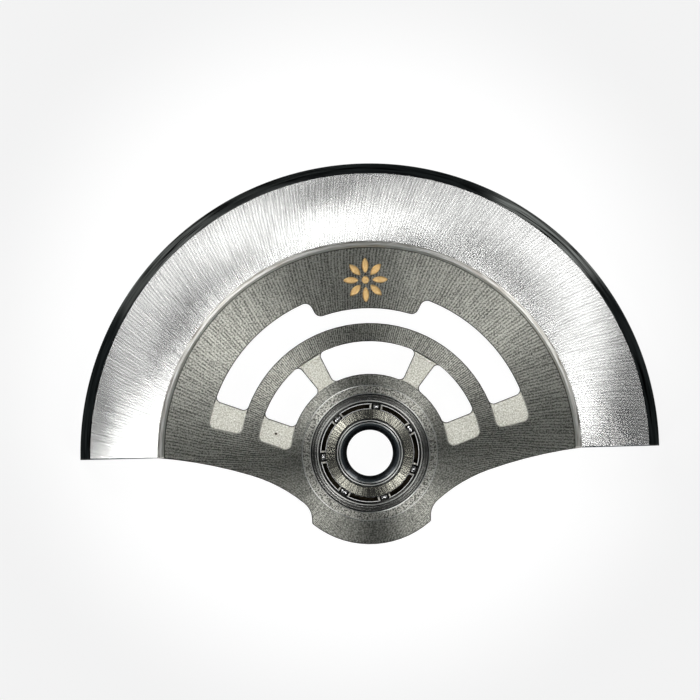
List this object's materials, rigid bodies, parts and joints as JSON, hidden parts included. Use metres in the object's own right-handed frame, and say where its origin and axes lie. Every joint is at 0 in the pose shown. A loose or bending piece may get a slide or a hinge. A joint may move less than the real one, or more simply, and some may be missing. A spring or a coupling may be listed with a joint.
{
  "type": "automatic watch rotor",
  "caption": "Skeletonised half-disc oscillating weight with a raised heavy rim, turning on a miniature ball bearing, with a toothed drive wheel below its hub.",
  "frame": {"origin": "on the rotation axis, at the face of the bearing's inner ring that seats on the movement", "axes": "+Z along the rotation axis, from the movement towards the case back; +Y from the axis towards the middle of the heavy rim; +X to the right when seen from the case back"},
  "size_m": [0.0278, 0.0183, 0.0019],
  "materials": {
    "heavy_metal": "radially brushed satin with a polished bevel",
    "plate_metal": "sunburst brushed, with frosted sunk pads",
    "bush_metal": "satin",
    "wheel_metal": "satin",
    "bearing_steel": "turned and polished",
    "cage_metal": "dull",
    "ball_steel": "polished"
  },
  "bodies": {
    "inner_ring": {"bearing_core": "bearing_steel", "bearing_cone": "bearing_steel"},
    "rotor": {"rotor_plate": "plate_metal", "weight_segment": "heavy_metal", "hub_bush": "bush_metal", "bearing_outer_ring": "bearing_steel", "drive_wheel": "wheel_metal"},
    "cage": {"ball_cage": "cage_metal"},
    "ball_1": {"ball_1": "ball_steel"},
    "ball_2": {"ball_2": "ball_steel"},
    "ball_3": {"ball_3": "ball_steel"},
    "ball_4": {"ball_4": "ball_steel"},
    "ball_5": {"ball_5": "ball_steel"},
    "ball_6": {"ball_6": "ball_steel"},
    "ball_7": {"ball_7": "ball_steel"}
  },
  "joints": [
    {"name": "rotor_spin", "type": "hinge", "parent": "inner_ring", "child": "rotor", "pos_m": [0, 0, 0.00078], "axis": [0, 0, 1], "continuous": true},
    {"name": "cage_spin", "type": "hinge", "parent": "inner_ring", "child": "cage", "pos_m": [0, 0, 0.00078], "axis": [0, 0, 1], "continuous": true},
    {"name": "ball_1_spin", "type": "hinge", "parent": "cage", "child": "ball_1", "pos_m": [0.00035, 0.00221, 0.00078], "axis": [0, 0, 1], "continuous": true},
    {"name": "ball_2_spin", "type": "hinge", "parent": "cage", "child": "ball_2", "pos_m": [-0.00151, 0.00165, 0.00078], "axis": [0, 0, 1], "continuous": true},
    {"name": "ball_3_spin", "type": "hinge", "parent": "cage", "child": "ball_3", "pos_m": [-0.00224, -0.00015, 0.00078], "axis": [0, 0, 1], "continuous": true},
    {"name": "ball_4_spin", "type": "hinge", "parent": "cage", "child": "ball_4", "pos_m": [-0.00128, -0.00184, 0.00078], "axis": [0, 0, 1], "continuous": true},
    {"name": "ball_5_spin", "type": "hinge", "parent": "cage", "child": "ball_5", "pos_m": [0.00064, -0.00215, 0.00078], "axis": [0, 0, 1], "continuous": true},
    {"name": "ball_6_spin", "type": "hinge", "parent": "cage", "child": "ball_6", "pos_m": [0.00208, -0.00084, 0.00078], "axis": [0, 0, 1], "continuous": true},
    {"name": "ball_7_spin", "type": "hinge", "parent": "cage", "child": "ball_7", "pos_m": [0.00195, 0.0011, 0.00078], "axis": [0, 0, 1], "continuous": true}
  ],
  "couplings": [
    {"joint": "cage_spin", "follows": "rotor_spin", "ratio": 0.5558},
    {"joint": "ball_1_spin", "follows": "rotor_spin", "ratio": 4.4242},
    {"joint": "ball_2_spin", "follows": "rotor_spin", "ratio": 4.4242},
    {"joint": "ball_3_spin", "follows": "rotor_spin", "ratio": 4.4242},
    {"joint": "ball_4_spin", "follows": "rotor_spin", "ratio": 4.4242},
    {"joint": "ball_5_spin", "follows": "rotor_spin", "ratio": 4.4242},
    {"joint": "ball_6_spin", "follows": "rotor_spin", "ratio": 4.4242},
    {"joint": "ball_7_spin", "follows": "rotor_spin", "ratio": 4.4242}
  ]
}
